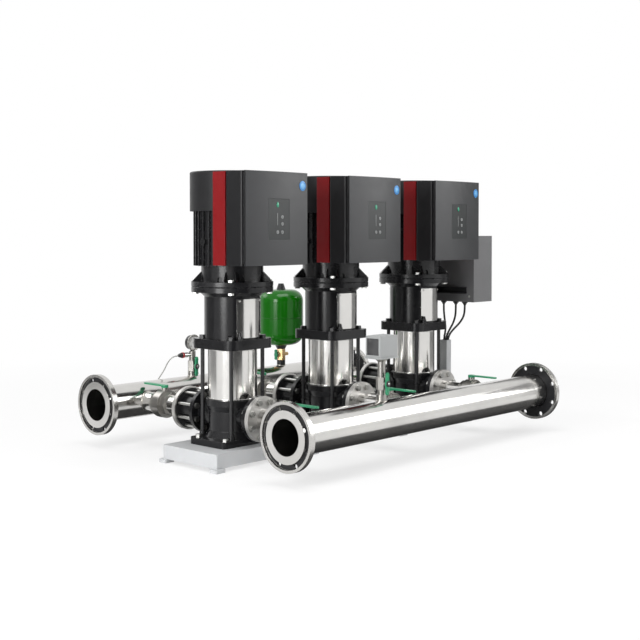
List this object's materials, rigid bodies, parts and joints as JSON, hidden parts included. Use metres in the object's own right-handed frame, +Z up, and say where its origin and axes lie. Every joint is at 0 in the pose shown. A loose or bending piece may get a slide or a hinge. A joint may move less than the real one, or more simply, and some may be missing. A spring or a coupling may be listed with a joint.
{
  "type": "booster pump set",
  "caption": "Booster set of vertical multistage pumps with speed drives on a steel tray, between a suction and a discharge manifold, with tank, gauges and control cabinet.",
  "frame": {"origin": "centre of the four anchor holes on the floor, under the middle pump", "axes": "+X along the row of pumps towards the control cabinet, -Y to the suction side, +Z up"},
  "size_m": [2.0315, 1.5348, 1.277],
  "materials": {
    "light_grey_paint": "satin powder coat",
    "black_casting": "satin black paint",
    "stainless": "polished",
    "bright_bolts": "bright zinc",
    "dark_steel": "blackened",
    "nickel": "plated",
    "black_motor": "satin black paint",
    "copper_and_steel": "plain",
    "dark_drive": "fine grain",
    "red_trim": "satin",
    "panel_black": "smooth",
    "grey_casting": "zinc-grey",
    "green_lever": "dipped plastic",
    "green_tank": "gloss",
    "brass": "cast and turned",
    "cabinet_grey": "fine texture",
    "switch_grey": "moulded",
    "gauge_black": "moulded",
    "cable_black": "matt",
    "cable_grey": "matt"
  },
  "bodies": {
    "pump_set": {"base_rails_and_feet": "light_grey_paint", "base_tray": "light_grey_paint", "cabinet_body": "cabinet_grey", "cabinet_cables": "cable_black", "cabinet_stand": "light_grey_paint", "cable_glands": "gauge_black", "check_valves": "black_casting", "control_panels": "panel_black", "coupling_guards": "stainless", "diaphragm_tank": "green_tank", "discharge_manifold": "stainless", "discharge_riser": "nickel", "drive_covers": "dark_drive", "drive_housings": "dark_drive", "drive_trims": "red_trim", "fan_covers": "black_motor", "isolating_valves": "brass", "manifold_flanges": "black_casting", "motor_and_foot_bolts": "bright_bolts", "motor_frame_1": "black_motor", "motor_frame_2": "black_motor", "motor_frame_3": "black_motor", "motor_stool_1": "black_casting", "motor_stool_2": "black_casting", "motor_stool_3": "black_casting", "port_flanges": "grey_casting", "port_studs": "bright_bolts", "pressure_gauge": "gauge_black", "pressure_sender": "stainless", "pressure_switch": "switch_grey", "pump_base_1": "black_casting", "pump_base_2": "black_casting", "pump_base_3": "black_casting", "pump_heads": "black_casting", "pump_sleeves": "stainless", "sensor_cable": "cable_grey", "stage_chambers_and_seals": "stainless", "stators_and_bearings": "copper_and_steel", "stay_bolts": "dark_steel", "suction_manifold": "stainless", "suction_riser": "nickel", "tank_fittings": "dark_steel", "tank_valve": "brass"},
    "pump_rotor_1": {"pump_rotor_1": "copper_and_steel"},
    "pump_rotor_2": {"pump_rotor_2": "copper_and_steel"},
    "pump_rotor_3": {"pump_rotor_3": "copper_and_steel"},
    "suction_lever_1": {"suction_lever_1": "green_lever"},
    "suction_lever_2": {"suction_lever_2": "green_lever"},
    "suction_lever_3": {"suction_lever_3": "green_lever"},
    "discharge_lever_1": {"discharge_lever_1": "green_lever"},
    "discharge_lever_2": {"discharge_lever_2": "green_lever"},
    "discharge_lever_3": {"discharge_lever_3": "green_lever"},
    "check_flap_1": {"check_flap_1": "stainless"},
    "check_flap_2": {"check_flap_2": "stainless"},
    "check_flap_3": {"check_flap_3": "stainless"},
    "tank_valve_lever": {"tank_valve_lever": "green_lever"},
    "suction_cock_handle": {"suction_cock_handle": "green_lever"},
    "discharge_cock_handle": {"discharge_cock_handle": "green_lever"},
    "gauge_pointer": {"gauge_pointer": "gauge_black"},
    "cabinet_door": {"cabinet_door": "cabinet_grey"}
  },
  "joints": [
    {"name": "rotor_1_spin", "type": "hinge", "parent": "pump_set", "child": "pump_rotor_1", "pos_m": [-0.65, 0, 0.7], "axis": [0, 0, 1], "continuous": true},
    {"name": "rotor_2_spin", "type": "hinge", "parent": "pump_set", "child": "pump_rotor_2", "pos_m": [0, 0, 0.7], "axis": [0, 0, 1], "continuous": true},
    {"name": "rotor_3_spin", "type": "hinge", "parent": "pump_set", "child": "pump_rotor_3", "pos_m": [0.65, 0, 0.7], "axis": [0, 0, 1], "continuous": true},
    {"name": "suction_valve_1_turn", "type": "hinge", "parent": "pump_set", "child": "suction_lever_1", "pos_m": [-0.65, -0.3725, 0.2], "axis": [0, 0, 1], "range_deg": [0, 90]},
    {"name": "suction_valve_2_turn", "type": "hinge", "parent": "pump_set", "child": "suction_lever_2", "pos_m": [0, -0.3725, 0.2], "axis": [0, 0, 1], "range_deg": [0, 90]},
    {"name": "suction_valve_3_turn", "type": "hinge", "parent": "pump_set", "child": "suction_lever_3", "pos_m": [0.65, -0.3725, 0.2], "axis": [0, 0, 1], "range_deg": [0, 90]},
    {"name": "discharge_valve_1_turn", "type": "hinge", "parent": "pump_set", "child": "discharge_lever_1", "pos_m": [-0.65, 0.4725, 0.2], "axis": [0, 0, 1], "range_deg": [0, 90]},
    {"name": "discharge_valve_2_turn", "type": "hinge", "parent": "pump_set", "child": "discharge_lever_2", "pos_m": [0, 0.4725, 0.2], "axis": [0, 0, 1], "range_deg": [0, 90]},
    {"name": "discharge_valve_3_turn", "type": "hinge", "parent": "pump_set", "child": "discharge_lever_3", "pos_m": [0.65, 0.4725, 0.2], "axis": [0, 0, 1], "range_deg": [0, 90]},
    {"name": "check_flap_1_swing", "type": "hinge", "parent": "pump_set", "child": "check_flap_1", "pos_m": [-0.65, 0.2008, 0.243], "axis": [1, 0, 0], "range_deg": [0, 60]},
    {"name": "check_flap_2_swing", "type": "hinge", "parent": "pump_set", "child": "check_flap_2", "pos_m": [0, 0.2008, 0.243], "axis": [1, 0, 0], "range_deg": [0, 60]},
    {"name": "check_flap_3_swing", "type": "hinge", "parent": "pump_set", "child": "check_flap_3", "pos_m": [0.65, 0.2008, 0.243], "axis": [1, 0, 0], "range_deg": [0, 60]},
    {"name": "tank_valve_turn", "type": "hinge", "parent": "pump_set", "child": "tank_valve_lever", "pos_m": [0.334, 0.675, 0.342], "axis": [-1, 0, 0], "range_deg": [0, 90]},
    {"name": "suction_cock_turn", "type": "hinge", "parent": "pump_set", "child": "suction_cock_handle", "pos_m": [-0.305, -0.575, 0.358], "axis": [0, -1, 0], "range_deg": [0, 90]},
    {"name": "discharge_cock_turn", "type": "hinge", "parent": "pump_set", "child": "discharge_cock_handle", "pos_m": [-0.305, 0.675, 0.333], "axis": [0, -1, 0], "range_deg": [0, 90]},
    {"name": "gauge_pointer_swing", "type": "hinge", "parent": "pump_set", "child": "gauge_pointer", "pos_m": [-0.305, 0.66, 0.452], "axis": [0, 1, 0], "range_deg": [-135, 135]},
    {"name": "cabinet_door_swing", "type": "hinge", "parent": "pump_set", "child": "cabinet_door", "pos_m": [1.085, 0.186, 0.8], "axis": [0, 0, 1], "range_deg": [0, 110]}
  ]
}
